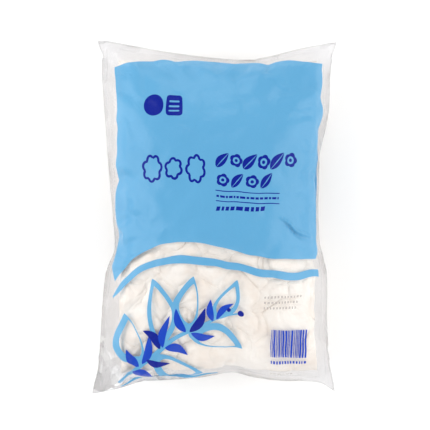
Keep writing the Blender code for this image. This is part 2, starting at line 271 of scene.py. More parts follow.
skin_shape = (SKIN_COLUMNS + 1, SKIN_ROWS + 1)
front_start = film_places(skin_u, skin_v, 1)
back_start = film_places(skin_u, skin_v, -1)
creases = {1: np.zeros((*skin_shape, 3)), -1: np.zeros((*skin_shape, 3))}
ripple = np.random.default_rng(RIPPLE_SEED).normal(0, 1, (*skin_shape, 3))
ripple = soften(ripple, RIPPLE_WIDTH_CELLS)
ripple = (ripple * START_RIPPLE / ripple.std()).reshape(-1, 3)
start = np.vstack((front_start + ripple * ~on_rim[:, None], back_start[~on_rim]))
flat = np.column_stack((skin_u * FLAT_WIDTH, skin_v * FLAT_LENGTH, np.zeros(len(skin_u))))
flat = np.vstack((flat, flat[~on_rim]))
faces = np.vstack((skin_faces(skin_index, True),
                   skin_faces(back_of.reshape(skin_shape), False)))
moved = inflate(start, flat, faces, SIM_FRAMES)
for side, rows, smooth in ((1, np.arange(len(skin_u)), front_start),
                           (-1, back_of, back_start)):
    move = (moved[rows] - smooth).reshape(*skin_shape, 3)
    small = move - soften(move, CREASE_WIDTH_CELLS)
    length = np.linalg.norm(small, axis=-1, keepdims=True)
    creases[side] = small * np.minimum(1, CREASE_LIMIT / np.maximum(length, 1e-9))
    print("film", side, "moved", round(float(np.linalg.norm(move, axis=-1).max()) * 1000, 2),
          "mm, creases up to", round(float(length.max()) * 1000, 2), "mm, typical",
          round(float(np.sqrt((length**2).mean())) * 1000, 2), "mm")

# %% [markdown]
# ## Where the balls lie
# The balls lie in stacks, in staggered rows, and each stack keeps to its own share of the bag.
# The same seed as the frame's puts every ball inside the frame's stack. The balls press the
# front film out a little, so the film needs their places too.

# %% The stacks' places on the flat bag
EDGE_ROOM = 0.035
STACK_ROWS, STACKS_IN_LONG_ROW = 10, 6
ROW_SHIFT, STACK_SEED = 0.15, 14
BALL_HEIGHT = 0.0252

hollow_low = np.array((SIDE_SEAL + EDGE_ROOM * BAG_WIDTH, END_SEAL + EDGE_ROOM * BAG_LENGTH))
hollow_high = np.array((BAG_WIDTH, BAG_LENGTH)) - hollow_low


def stack_places():
    """Centres of the stacks, in metres from the flat bag's lower left corner."""
    chance = random.Random(STACK_SEED)
    pitch = (hollow_high[0] - hollow_low[0]) / STACKS_IN_LONG_ROW
    row_pitch = (hollow_high[1] - hollow_low[1]) / STACK_ROWS
    places = []
    for row in range(STACK_ROWS):
        first = hollow_low[0] + pitch / 2 * (1 + row % 2)
        for k in range(STACKS_IN_LONG_ROW - row % 2):
            x = first + pitch * (k + chance.uniform(-ROW_SHIFT, ROW_SHIFT))
            y = hollow_low[1] + row_pitch * (row + 0.5 + chance.uniform(-ROW_SHIFT, ROW_SHIFT))
            places.append((x, y))
    return np.array(places)


centres = stack_places()
print(len(centres), "stacks placed for", len(stack_names), "in the frame")

# %% [markdown]
# ## The skin with its creases
# A point of the skin is the smooth bag plus the creases. They are strongest near the seams,
# where there is too much film, and weak over the tight middle. At the welded edge both films
# move as one. Further in, neither may move so far that the films would meet. A few long folds
# are added at the places where the real bag shows them.

# %% Points on the creased film
SEAL_REACH = 0.0065           # up to here from the edge the two films move together
TIGHT_REACH = 0.050
TIGHT_SHARE = 0.40            # how much of the creases is left in the tight middle
GAP_SHARE = 0.3               # a film gives way by at most this share of the room under it
BALL_PRESS, BALL_SPREAD = 0.0011, 0.0105
PRESS_MEAN, PRESS_REACH = 0.55, 0.012         # so that the film rises as much as it sinks
FOLD_POINTS, FOLD_REACH = 24, 0.004
FOLD_ENDS = 0.08              # of its full height is left at a fold's two ends
# each fold: points in mm on the flat bag, then its width and height in mm
FOLDS = (
    (((161, 145), (169, 139), (177, 131), (187, 126)), 1.15, 2.8),
    (((161, 142), (169, 136), (177, 128), (187, 123)), 1.5, -1.8),
    (((183, 147), (191, 150), (199, 151)), 2.6, -1.6),
    (((172, 118), (182, 115), (196, 119)), 2.6, 1.3),
    (((141, 270), (150, 266), (158, 257), (169, 255)), 2.0, 1.3),
    (((150, 252), (160, 247), (174, 249)), 2.2, 1.0),
    (((163, 240), (174, 236), (187, 238)), 2.4, -1.0),
    (((178, 226), (190, 221), (198, 223)), 2.6, 1.2),
    (((176, 205), (186, 200), (197, 203)), 2.4, -1.1),
    (((12, 232), (22, 222), (25, 208)), 2.6, 1.0),
    (((4, 128), (14, 124), (27, 127)), 3.0, -1.8),
    (((3, 116), (13, 111), (30, 112), (40, 116)), 2.6, 1.7),
    (((4, 98), (16, 101), (29, 98)), 2.8, -1.4),
    (((3, 141), (12, 138), (24, 141)), 2.8, 1.2),
    (((5, 26), (16, 18), (30, 17), (44, 9)), 2.6, 1.8),
    (((9, 38), (18, 29), (33, 27)), 2.6, -1.5),
    (((20, 6), (26, 16), (28, 29)), 2.4, 1.3),
    (((52, 5), (55, 15), (53, 27)), 2.6, 1.1),
    (((84, 5), (83, 13), (86, 23)), 2.8, 1.3),
    (((118, 5), (122, 15), (120, 26)), 2.8, -1.2),
    (((146, 5), (147, 13), (151, 19)), 2.6, 1.2),
    (((170, 5), (167, 17), (171, 31)), 2.8, -1.3),
    (((197, 44), (188, 49), (180, 48)), 2.6, 1.3),
    (((197, 72), (187, 70), (178, 74)), 2.8, -1.3),
    (((12, 286), (22, 277), (37, 273)), 2.6, 1.4),
    (((70, 288), (72, 280), (69, 270)), 2.6, 1.0),
    (((104, 288), (101, 279), (104, 268)), 2.8, -1.0),
    (((139, 288), (141, 279), (137, 269)), 2.6, 1.1),
    (((190, 286), (181, 276), (170, 271)), 2.6, 1.4),
)


def weave(stations, count):
    """A smooth line through points, as count points."""
    stations = np.array(stations, float)
    share = np.linspace(0, 1, len(stations))
    along = np.linspace(0, 1, count)
    return np.column_stack([through(np.column_stack((share, stations[:, axis])), along)
                            for axis in range(stations.shape[1])])


def sample(field, u, v):
    """Smooth values of a field on the skin's grid, at any points."""
    def weights(place, count):
        place = np.clip(place * (count - 1), 0, count - 1 - 1e-9)
        k = place.astype(int)
        t = (place - k)[:, None]
        share = np.hstack((-t / 2 + t**2 - t**3 / 2, 1 - 5 * t**2 / 2 + 3 * t**3 / 2,
                           t / 2 + 2 * t**2 - 3 * t**3 / 2, -t**2 / 2 + t**3 / 2))
        return np.clip(k[:, None] + np.arange(-1, 3), 0, count - 1), share
    i, across = weights(u, field.shape[0])
    j, along = weights(v, field.shape[1])
    return np.einsum("nijk,ni,nj->nk", field[i[:, :, None], j[:, None, :]], across, along)


def ease(value):
    """0 below 0 and 1 above 1, with a soft start and end between them."""
    value = np.clip(value, 0, 1)
    return value * value * (3 - 2 * value)


def creased_places(u, v, side):
    """Points on the real-looking film, side 1 for the front film and -1 for the back film."""
    front, back = film_places(u, v, 1), film_places(u, v, -1)
    both = {1: sample(creases[1], u, v), -1: sample(creases[-1], u, v)}
    to_rim = np.minimum(np.minimum(u, 1 - u) * BAG_WIDTH, np.minimum(v, 1 - v) * BAG_LENGTH)
    apart = front[:, 2] - back[:, 2]
    shared = (both[1] + both[-1]) / 2
    own = both[side] - shared
    length = np.linalg.norm(own, axis=1)
    own *= (ease((to_rim - SEAL_REACH / 2) / SEAL_REACH)
            * np.minimum(1, GAP_SHARE * apart / np.maximum(length, 1e-9)))[:, None]
    loose = 1 - (1 - TIGHT_SHARE) * ease(to_rim / TIGHT_REACH)
    move = (shared + own) * loose[:, None]
    inner = ease((to_rim - SEAL_REACH) / PRESS_REACH)
    flat = np.column_stack((u * BAG_WIDTH, v * BAG_LENGTH))
    if side > 0:
        gap = ((flat[:, None, :] - centres[None, :, :]) ** 2).sum(-1).min(1)
        press = np.exp(-gap / (2 * BALL_SPREAD**2)) - PRESS_MEAN
        move[:, 2] += inner * BALL_PRESS * press
        for line, width, height in FOLDS:
            points = weave(line, FOLD_POINTS) / 1000
            gaps = np.linalg.norm(flat[:, None, :] - points[None, :, :], axis=-1)
            place = gaps.argmin(1) / (FOLD_POINTS - 1)
            fade = np.sin(np.pi * np.clip(FOLD_ENDS + (1 - 2 * FOLD_ENDS) * place, 0, 1))
            profile = np.exp(-(gaps.min(1) / (width / 1000)) ** 2)
            limit = np.minimum(1, GAP_SHARE * apart / (abs(height) / 1000))
            move[:, 2] += height / 1000 * profile * fade * limit * ease(to_rim / FOLD_REACH)
    move[:, 2] = np.maximum(move[:, 2], -GAP_SHARE * apart if side > 0 else -1)
    placed = (front if side > 0 else back) + move
    placed[:, 2] = np.maximum(placed[:, 2], 0.0)
    return placed


print(f"{len(FOLDS)} folds placed by hand, {min(abs(fold[2]) for fold in FOLDS)} to "
      f"{max(abs(fold[2]) for fold in FOLDS)} mm high")

# %% [markdown]
# ## The print
# The print is drawn on the flat bag in millimetres: X from the left edge, Y from the foot.
# Every shape is a closed outline with one ink. A later shape covers an earlier one, and the
# clear "ink" leaves a window. The real print was laid on a flat web of film before the bag was
# filled, so it bends with the film, and small shapes are drawn inside quads that follow it.

# %% Shapes for the print
CLEAR, PALE, NAVY, MIDDLE, FAINT = range(5)
prints = []                   # (ink, outline in mm)


def add(ink, outline):
    """Puts a closed outline in mm on top of the print."""
    prints.append((ink, np.array(outline, float)))


def disc(x, y, radius, steps=None):
    """A round shape, with sides of about 0.8 mm unless it is told how many."""
    steps = steps or max(12, int(math.tau * radius / 0.8))
    turn = np.linspace(0, math.tau, steps, endpoint=False)
    return np.column_stack((x + radius * np.cos(turn), y + radius * np.sin(turn)))


def rounded_bar(x0, y0, x1, y1, radius):
    """A rectangle with round corners."""
    outline = []
    for cx, cy, start in ((x1 - radius, y1 - radius, 0), (x0 + radius, y1 - radius, 1),
                          (x0 + radius, y0 + radius, 2), (x1 - radius, y0 + radius, 3)):
        for turn in np.linspace(start, start + 1, 5) * math.pi / 2:
            outline.append((cx + radius * math.cos(turn), cy + radius * math.sin(turn)))
    return outline


def ribbon(line, widths, step=1.0):
    """A band along a smooth line, its width changing smoothly between the given widths."""
    rough = weave(line, 60)
    count = max(6, int(np.linalg.norm(np.diff(rough, axis=0), axis=1).sum() / step))
    middle = weave(line, count)
    width = np.interp(np.linspace(0, 1, count), np.linspace(0, 1, len(widths)), widths)
    ahead = np.gradient(middle, axis=0)
    ahead /= np.linalg.norm(ahead, axis=1, keepdims=True)
    across = np.column_stack((-ahead[:, 1], ahead[:, 0])) * width[:, None] / 2
    return np.vstack((middle + across, (middle - across)[::-1]))


def leaf(base, tip, width, bow=0.0):
    """A leaf from base to tip. A bow bends its middle to one side, as a share of its length."""
    base, tip = np.array(base, float), np.array(tip, float)
    along = tip - base
    across = np.array((-along[1], along[0]))
    length = np.linalg.norm(along)
    t = np.linspace(0, 1, max(10, int(length / 1.1)))[:, None]
    spine = base + along * t + across * bow * np.sin(math.pi * t)
    half = across / length * width / 2 * np.sin(math.pi * t**0.8) ** 0.85
    return np.vstack((spine + half, (spine - half)[-2:0:-1]))


def puff(x, y, width, height, lobes, lean=0.0):
    """A cloud-like outline: a few round lobes around a middle."""
    turn = np.linspace(0, math.tau, 110, endpoint=False)
    swell = 0.80 + 0.20 * np.abs(np.sin((turn + lean) * lobes / 2)) ** 0.8
    return np.column_stack((x + width / 2 * swell * np.cos(turn),
                            y + height / 2 * swell * np.sin(turn)))


def hollow_shape(ink, inside_ink, outline, line_width):
    """A closed outline drawn as a line of that width, filled with another ink."""
    outline = np.array(outline, float)
    ahead = np.roll(outline, -1, 0) - np.roll(outline, 1, 0)
    ahead /= np.maximum(np.linalg.norm(ahead, axis=1, keepdims=True), 1e-9)
    inward = np.column_stack((-ahead[:, 1], ahead[:, 0])) * line_width
    signed = (outline[:, 0] * np.roll(outline[:, 1], -1)
              - np.roll(outline[:, 0], -1) * outline[:, 1]).sum()
    add(ink, outline)
    add(inside_ink, outline + (inward if signed > 0 else -inward))


def in_quad(quad, width, height, outline):
    """Moves an outline drawn in a plain width x height box into a quad on the film."""
    low_left, low_right, top_left, top_right = np.array(quad, float)
    s, t = np.array(outline, float).T
    s, t = (s / width)[:, None], (t / height)[:, None]
    return ((low_left * (1 - s) + low_right * s) * (1 - t)
            + (top_left * (1 - s) + top_right * s) * t)


print(f"five inks; a disc 10 mm across has {len(disc(0, 0, 5))} sides")

# %% [markdown]
# ## The pale field and the stripe
# One roller lays pale blue ink over most of the front. The field ends in a long curve, and the
# stripe follows that curve at a distance. Each side is a smooth line through a few places on
# the flat film.

# %% The pale field with its curved foot, and the stripe under it
def bordered(*sides):
    """One closed outline from its four sides, each a smooth line."""
    return np.vstack([weave(side, max(24, 9 * len(side)))[:-1] for side in sides])


field_top = ((14.6, 270.9), (25.3, 274.4), (52.8, 279.3), (111.7, 285.2), (130.3, 284.4),
             (160.0, 279.4), (192.5, 272.7))
field_right = ((192.5, 272.7), (192.4, 251.0), (194.4, 225.7), (196.7, 205.2), (198.6, 188.0),
               (198.4, 160.0), (197.2, 136.3), (195.0, 122.0), (190.3, 109.2))
field_foot = ((190.3, 109.2), (175.5, 108.6), (157.2, 110.1), (139.4, 112.5), (121.5, 115.6),
              (103.6, 120.1), (85.5, 123.8), (67.3, 124.4), (48.7, 121.5), (39.6, 118.1),
              (31.1, 113.7), (24.0, 109.0), (18.2, 100.8), (13.8, 92.6))
field_left = ((13.8, 92.6), (8.4, 104.0), (5.0, 118.0), (5.0, 133.0), (8.2, 158.0),
              (11.8, 184.0), (13.4, 210.0), (14.3, 240.0), (14.6, 270.9))
add(PALE, bordered(field_top, field_right, field_foot, field_left))

stripe_top = ((190.0, 99.6), (178.0, 98.6), (165.3, 98.5), (147.6, 101.2), (130.2, 103.6),
              (112.7, 106.8), (94.9, 111.0), (76.8, 112.9), (58.9, 112.3), (41.9, 108.2),
              (30.5, 103.2), (22.0, 96.4), (17.2, 88.5), (13.6, 81.0))
stripe_low = ((13.6, 79.0), (19.0, 84.6), (25.1, 91.4), (34.0, 98.0), (43.4, 102.3),
              (60.4, 105.8), (77.8, 106.0), (95.5, 103.9), (113.0, 100.2), (130.3, 97.2),
              (147.5, 94.3), (165.1, 92.0), (178.0, 92.2), (190.0, 93.6))
add(PALE, np.vstack((weave(stripe_top, 100), weave(stripe_low, 100))))
for name, (ink, outline) in zip(("field", "stripe"), prints):
    print(f"{name}: {np.ptp(outline[:, 0]):.0f} x {np.ptp(outline[:, 1]):.0f} mm")

# %% [markdown]
# ## The dark marks
# Dark blue ink goes over the pale field in plain shapes: a disc and a barred block, three thin
# round puffs, and two rows of leaves and blossoms. Each is drawn in a plain box and then moved
# into its quad on the film, so it follows the film's slant.

# %% The dark marks on the field
mark = ((37.7, 229.4), (71.4, 232.2), (38.4, 247.2), (71.9, 250.5))
add(NAVY, in_quad(mark, 34, 18, disc(9, 9, 8.8)))
add(NAVY, in_quad(mark, 34, 18, rounded_bar(20.0, 0.4, 33.6, 17.6, 2.6)))
for height in (5.2, 9.0, 12.8):
    add(PALE, in_quad(mark, 34, 18, rounded_bar(22.6, height - 0.7, 31.0, height + 0.7, 0.6)))

puffs = ((33.8, 168.9), (93.5, 171.1), (35.7, 200.8), (93.9, 204.3))
for middle, width, height, lobes, lean in ((9.8, 19, 25, 7, 0.3), (29.6, 18, 19, 6, 0.9),
                                           (49.8, 19, 27, 7, 1.7)):
    shape = in_quad(puffs, 60, 33, puff(middle, 16.5, width, height, lobes, lean))
    hollow_shape(NAVY, PALE, shape, 2.1)

row_one = ((101.5, 187.2), (176.4, 183.2), (101.3, 204.1), (175.3, 201.0))
row_two = ((101.0, 170.3), (154.4, 169.6), (101.4, 185.8), (154.4, 184.9))


def blossom(quad, box, x, y, radius):
    """A small round flower: petals, an open ring and a middle."""
    turn = np.linspace(0, math.tau, 60, endpoint=False)
    swell = radius * (0.82 + 0.18 * np.abs(np.cos(turn * 2.5)))
    petals = np.column_stack((x + swell * np.cos(turn), y + swell * np.sin(turn)))
    add(NAVY, in_quad(quad, *box, petals))
    add(PALE, in_quad(quad, *box, disc(x, y, radius * 0.52)))
    add(NAVY, in_quad(quad, *box, disc(x, y, radius * 0.25)))


def slanted_leaf(quad, box, x, y, size):
    """A leaf lying aslant, with a pale rib."""
    base, tip = (x - size * 0.42, y - size * 0.46), (x + size * 0.42, y + size * 0.46)
    add(NAVY, in_quad(quad, *box, leaf(base, tip, size * 0.62, 0.04)))
    add(PALE, in_quad(quad, *box, ribbon((base, (x, y), tip), (0.2, 0.9, 0.2))))


for quad, box, count, size in ((row_one, (75, 17), 6, 14.0), (row_two, (53, 15.5), 4, 13.2)):
    for k in range(count):
        x = box[0] * (k + 0.5) / count
        if (k + count // 3) % 2:
            blossom(quad, box, x, box[1] / 2, size * 0.44)
        else:
            slanted_leaf(quad, box, x, box[1] / 2, size)
print(len(prints), "shapes with the dark marks")

# %% [markdown]
# ## Rules and dashes
# Two thin rules cross the field under the rows, with a line of short dashes between them and a
# slanted row below. The dashes have uneven lengths, drawn by chance from one seed.

# %% The rules, the dashes between them and a slanted row
add(NAVY, ribbon(((101.1, 169.0), (130.0, 167.6), (159.6, 165.6)), (0.8, 0.8)))
add(NAVY, ribbon(((100.8, 160.0), (130.0, 158.9), (159.8, 156.8)), (0.8, 0.8)))
dash_chance = random.Random(8)


def dashes(ink, start, end, height, lengths, gap, slant=0.0):
    """A row of short bars of uneven length, from start to end."""
    start, end = np.array(start, float), np.array(end, float)
    ahead = (end - start) / np.linalg.norm(end - start)
    up = np.array((-ahead[1] + slant, ahead[0]))
    place, total = 0.0, np.linalg.norm(end - start)
    while place < total:
        length = min(dash_chance.uniform(*lengths), total - place)
        if length > 0.6:
            a, b = start + ahead * place, start + ahead * (place + length)
            add(ink, (a, b, b + up * height, a + up * height))
        place += length + gap


dashes(NAVY, (101.5, 163.4), (159.0, 160.6), 1.9, (1.6, 4.6), 1.0)
dashes(NAVY, (100.5, 151.4), (145.2, 151.9), 3.6, (2.2, 6.5), 1.5, slant=0.25)
print(len(prints), "shapes with the rules and dashes")

# %% [markdown]
# ## The leaf figure at the foot
# On clear film the figure is line work: a long curved stem, open leaves with a thick and thin
# outline, and small dark leaves at the joints. A pale leaf with a clear leaf over it leaves the
# outline, so the balls show through its middle.

# %% A sprig in line work
def open_leaf(base, tip, width, bow, thick, thin):
    """A leaf in outline: its line is thick on one side and thin on the other."""
    add(PALE, leaf(base, tip, width, bow))
    base, tip = np.array(base, float), np.array(tip, float)
    along = tip - base
    length = np.linalg.norm(along)
    aside = np.array((-along[1], along[0])) / length * (thin - thick) / 2
    ends = along / length * (thick + thin)
    low, high = base + ends * 1.1 + aside, tip - ends * 0.9 + aside
    add(CLEAR, leaf(low, high, width - thick - thin, bow))


stem = ((22.0, 6.0), (38.0, 17.0), (57.0, 33.0), (78.0, 47.0), (100.0, 57.0), (123.0, 62.0))
for base, tip, width, bow, thick, thin in (
        ((41, 20), (23, 66), 23, 0.10, 4.6, 2.6), ((57, 34), (46, 93), 25, -0.08, 4.8, 2.8),
        ((78, 47), (82, 95), 23, 0.08, 4.6, 2.6), ((99, 57), (119, 91), 20, -0.10, 4.0, 2.4),
        ((49, 27), (92, 9), 22, -0.12, 4.6, 2.6), ((79, 46), (124, 30), 22, 0.10, 4.6, 2.6)):
    open_leaf(base, tip, width, bow, thick, thin)
add(PALE, ribbon(stem, (4.6, 4.4, 4.0, 3.4, 2.6, 1.2)))
add(PALE, ribbon(((24.0, 1.5), (50.0, 5.5), (78.0, 2.5), (104.0, 3.5)), (0.8, 3.4, 3.4, 0.8)))
for base, tip, width, bow, ink in (
        ((39, 18), (27, 37), 7.4, 0.12, MIDDLE), ((42, 20), (46, 45), 6.6, -0.10, MIDDLE),
        ((56, 33), (40, 50), 7.4, -0.12, NAVY), ((58, 34), (63, 61), 7.2, 0.10, MIDDLE),
        ((60, 34), (80, 27), 7.0, 0.12, MIDDLE), ((77, 47), (68, 67), 6.8, 0.10, MIDDLE),
        ((80, 47), (93, 68), 7.2, -0.10, NAVY), ((81, 46), (102, 42), 6.6, -0.10, MIDDLE),
        ((100, 56), (97, 75), 5.8, 0.10, MIDDLE), ((103, 57), (117, 70), 6.0, 0.12, MIDDLE),
        ((45, 24), (64, 20), 6.2, -0.14, NAVY), ((33, 13), (50, 8), 6.0, 0.12, MIDDLE)):
    add(ink, leaf(base, tip, width, bow))
for x, y, radius in ((123.5, 62.0, 2.6), (113.5, 64.6, 1.7)):
    add(NAVY, disc(x, y, radius))
print(len(prints), "shapes with the leaf figure")

# %% [markdown]
# ## The small marks at the foot
# Right of the figure the print is small: a block of plain upright bars, and lines of dashes in
# a grey so thin that the cotton shows through. The bars' widths come by chance from one seed
# and mean nothing.

# %% Plain bars, faint dashes and fine lines
BARS_BOX = (30, 24.5)
BARS_WIDTH = 29.4

bars = ((148.5, 24.6), (178.1, 24.3), (149.0, 49.2), (179.2, 48.1))
bar_chance = random.Random(3)
place = 0.0
while place < BARS_WIDTH:
    width, height = bar_chance.choice((0.6, 0.6, 1.0, 1.5)), BARS_BOX[1]
    add(MIDDLE, in_quad(bars, *BARS_BOX, ((place, 0), (place + width, 0),
                                          (place + width, height), (place, height))))
    place += width + bar_chance.choice((0.5, 0.5, 0.8))
dashes(MIDDLE, (148.6, 19.6), (178.4, 19.2), 2.2, (0.9, 1.8), 1.0)
for y in (77.0, 72.2, 67.4):
    dashes(FAINT, (142.7, y), (176.4 - (77 - y) * 0.6, y - 1.4), 1.9, (1.0, 1.9), 1.3)
dashes(FAINT, (148.2, 9.0), (166.2, 9.6), 1.0, (1.2, 3.0), 0.9)
dashes(FAINT, (148.1, 5.2), (188.0, 5.8), 0.8, (1.6, 4.0), 0.9)
print(len(prints), "shapes in the print")

# %% [markdown]
# ## One skin, cut along its print
# The front film is cut into small triangles, and the edges of every printed shape are edges of
# the triangles. So the print is sharp without an image, and each triangle takes one ink. Front
# and back share the points of the bag's edge, which closes the skin all round as the weld does.

# %% Triangles of the flat films
FRONT_STEP, BACK_STEP, RIM_STEP = 1.55, 3.6, 1.6       # a triangle's side, mm
OUTLINE_STEP = 1.3                                     # and along a printed edge
FREE_ROOM = 0.42              # loose points keep this share of a step off the outlines
GUIDES = (3.2, 4.6, 5.2, 5.9, 6.8, 8.0, 9.4)           # mm in from the edge, where it is steep
SHARP_FOLD_WIDTHS = (1.0, 2.6, 4.4)                    # mm, rows of edges along the sharpest fold
VENT_SIDES = 20
VENT_DIAMETER, VENT_FROM_TOP, VENT_FROM_MIDDLE = 6.0, 30.0, 30.0
FLAT_MM = np.array((BAG_WIDTH, BAG_LENGTH)) * 1000


def rim_points():
    """Points round the flat bag's edge, in mm."""
    width, length = FLAT_MM
    across = np.linspace(0, width, round(width / RIM_STEP) + 1)[:-1]
    along = np.linspace(0, length, round(length / RIM_STEP) + 1)[:-1]
    return np.vstack((np.column_stack((across, 0 * across)),
                      np.column_stack((0 * along + width, along)),
                      np.column_stack((width - across, 0 * across + length)),
                      np.column_stack((0 * along, length - along))))


def loose_points(step, wobble, seed):
    """Staggered points inside the flat bag."""
    rows = []
    height = step * math.sqrt(3) / 2
    for k, y in enumerate(np.arange(step * 0.7, FLAT_MM[1] - step * 0.5, height)):
        x = np.arange(step * (0.6 + 0.5 * (k % 2)), FLAT_MM[0] - step * 0.45, step)
        rows.append(np.column_stack((x, np.full(len(x), y))))
    points = np.vstack(rows)
    return points + np.random.default_rng(seed).uniform(-wobble, wobble, points.shape) * step


def refine(outline, step):
    """The same closed outline with no side longer than a step."""
    after = np.roll(outline, -1, 0)
    parts = []
    for a, b in zip(outline, after):
        count = max(1, math.ceil(np.linalg.norm(b - a) / step))
        parts.append(a + (b - a) * np.linspace(0, 1, count, endpoint=False)[:, None])
    return np.vstack(parts)


def triangulate(step, outlines, wobble=0.06, seed=1):
    """Triangles of the flat bag with the outlines as edges: points in mm and index triples."""
    fixed = [rim_points()] + [refine(outline, OUTLINE_STEP) for outline in outlines]
    edges, start = [], 0
    for loop in fixed:
        index = np.arange(start, start + len(loop))
        edges += list(zip(index.tolist(), np.roll(index, -1).tolist()))
        start += len(loop)
    fixed = np.vstack(fixed)
    tree = kdtree.KDTree(len(fixed))
    for k, (x, y) in enumerate(fixed):
        tree.insert((x, y, 0), k)
    tree.balance()
    free = [(x, y) for x, y in loose_points(step, wobble, seed)
            if tree.find((x, y, 0))[2] > FREE_ROOM * step]
    points = [Vector(place) for place in fixed.tolist() + free]
    result = geometry.delaunay_2d_cdt(points, edges, [], 0, 1e-4, False)
    return np.array([(*place,) for place in result[0]]), np.array(result[2])


def inside_outline(points, outline):
    """Which points lie inside a closed outline."""
    inside = np.zeros(len(points), bool)
    near = np.flatnonzero(((points >= outline.min(0)) & (points <= outline.max(0))).all(1))
    x, y = points[near, 0][:, None], points[near, 1][:, None]
    x0, y0 = outline.T
    x1, y1 = np.roll(outline, -1, 0).T
    with np.errstate(divide="ignore", invalid="ignore"):
        crosses = ((y0 > y) != (y1 > y)) & (x < (x1 - x0) * (y - y0) / (y1 - y0) + x0)
    inside[near] = crosses.sum(1) % 2 == 1
    return inside


guides = [np.array(((gap, gap), (FLAT_MM[0] - gap, gap), FLAT_MM - gap, (gap, FLAT_MM[1] - gap)))
          for gap in GUIDES]
fold_rows = [ribbon(FOLDS[0][0], (width, width)) for width in SHARP_FOLD_WIDTHS]
front_flat, front_faces = triangulate(FRONT_STEP, guides + fold_rows
                                      + [outline for ink, outline in prints])
middles = front_flat[front_faces].mean(1)
inks = np.zeros(len(front_faces), int)
for ink, outline in prints:
    inks[inside_outline(middles, outline)] = ink
vent = disc(FLAT_MM[0] / 2 + VENT_FROM_MIDDLE, FLAT_MM[1] - VENT_FROM_TOP, VENT_DIAMETER / 2,
            VENT_SIDES)
back_flat, back_faces = triangulate(BACK_STEP, guides[::2] + [vent])
back_faces = back_faces[~inside_outline(back_flat[back_faces].mean(1), vent)]
print(f"front film {len(front_faces)} triangles, back film {len(back_faces)}")

# %% [markdown]
# ## The film as one piece
# The two films share their edge, so the skin is one piece with one opening, the vent. It also
# carries how slack it is at each point. Tight film over the balls is smooth and clear. Film at
# the seams is looser, and the lower left ear, where no ball reaches, is crumpled.

# %% Close the two films into one skin
film_inks = ("clear film", "pale blue ink", "navy ink", "mid blue ink", "faint grey ink")
SEAM_SLACK, CORNERS_SLACK, EAR_SLACK = 0.22, 0.2, 0.7
SEAM_FROM, SEAM_OVER = 0.80, 0.14             # shares of the way from the middle to the edge
# the slack ear in two parts: where each ends in x and y, and over how much it fades, mm
EAR_PARTS = ((46, 34, 64, 50), (80, 50, 26, 16))
ON_RIM = 1e-3                                 # mm


def slack_at(flat):
    """How loose the film is, from 0 over the tight middle to 1."""
    across, along = np.abs(2 * flat / FLAT_MM - 1).T
    seams = ease((np.maximum(across, along) - SEAM_FROM) / SEAM_OVER) * SEAM_SLACK
    ear = sum(ease((x_end - flat[:, 0]) / x_fade) * ease((y_end - flat[:, 1]) / y_fade)
              for x_end, x_fade, y_end, y_fade in EAR_PARTS)
    others = (across * along) ** 4 * CORNERS_SLACK
    return np.minimum(seams + others + EAR_SLACK * np.minimum(ear, 1), 1)


def rim_places(flat):
    """The points on the bag's edge: each one's number and its place in hundredths of a mm."""
    for k, (x, y) in enumerate(flat):
        if min(x, y, FLAT_MM[0] - x, FLAT_MM[1] - y) < ON_RIM:
            yield k, (round(x, 2), round(y, 2))


def build_film():
    """The whole bag as one mesh object, with a material slot for each ink."""
    front = creased_places(*np.clip(front_flat / FLAT_MM, 0, 1).T, 1)
    back = creased_places(*np.clip(back_flat / FLAT_MM, 0, 1).T, -1)
    rim = {place: k for k, place in rim_places(front_flat)}
    back_index = np.arange(len(back_flat)) + len(front_flat)
    for k, place in rim_places(back_flat):
        back_index[k] = rim[place]
    mesh = bpy.data.meshes.new("film_skin")
    faces = front_faces.tolist() + back_index[back_faces][:, ::-1].tolist()
    mesh.from_pydata(np.vstack((front, back)).tolist(), [], faces)
    for name in film_inks:
        mesh.materials.append(bpy.data.materials.new(name))
    slots = np.zeros(len(faces), np.int32)
    slots[:len(inks)] = inks
    mesh.polygons.foreach_set("material_index", slots)
    mesh.shade_smooth()
    slack = mesh.attributes.new("slack", "FLOAT", "POINT")
    slack.data.foreach_set("value", np.concatenate((slack_at(front_flat), slack_at(back_flat))))
    skin = bmesh.new()
    skin.from_mesh(mesh)
    bmesh.ops.delete(skin, geom=[v for v in skin.verts if not v.link_faces], context="VERTS")
    loose_edges = sum(1 for edge in skin.edges if len(edge.link_faces) == 1)
    skin.to_mesh(mesh)
    skin.free()
    film = bpy.data.objects.new("film_skin", mesh)
    bpy.context.collection.objects.link(film)
    print(f"skin: {len(mesh.polygons)} triangles, {loose_edges} open edges (the vent has "
          f"{VENT_SIDES})")
    return film


film = build_film()

# %% [markdown]
# ## The cotton balls
# A cotton ball is a fluffy wad of fibre, rolled and pressed. In the bag each one is squeezed
# by its neighbours and by the film, so it keeps a soft, lumpy, half round shape. Here each one
# is a sphere that is mapped into its share of the bag: it grows towards its neighbours, and its
# top and bottom follow the films. Soft folds and lumps come from noise, inward only, so that
# no ball can pass through the film.

# %% The hollow, and how far a ball may grow in it
FILM_CLEAR = 0.0007           # from a ball to the film
BALL_ROUNDNESS = 0.84         # below 1 a ball fills its share more squarely than a sphere
BALLS_MESH = 1.42             # fluff of neighbours meshes: each grows this much past its share
SIZE_SPREAD = 0.26            # how far two neighbours' sizes differ
EMPTY_LEFT, EMPTY_RIGHT = 0.0045, 0.0015      # the balls keep off the sides by this much more
FOOT_REACH = 0.0030           # and press this much further into the foot
EMPTY_CORNER = (0.0075, 0.0035)       # and off the lower left corner by this much
CORNER_WIDTH, CORNER_HEIGHT, CORNER_FOOT = 0.085, 0.110, 0.060       # how far that reaches
WARP, WARP_WIDTH = 0.0052, 0.034      # balls aren't polygons: their shares are bent by this much
WARP_FADE = 0.02              # and less than that so close to the sides


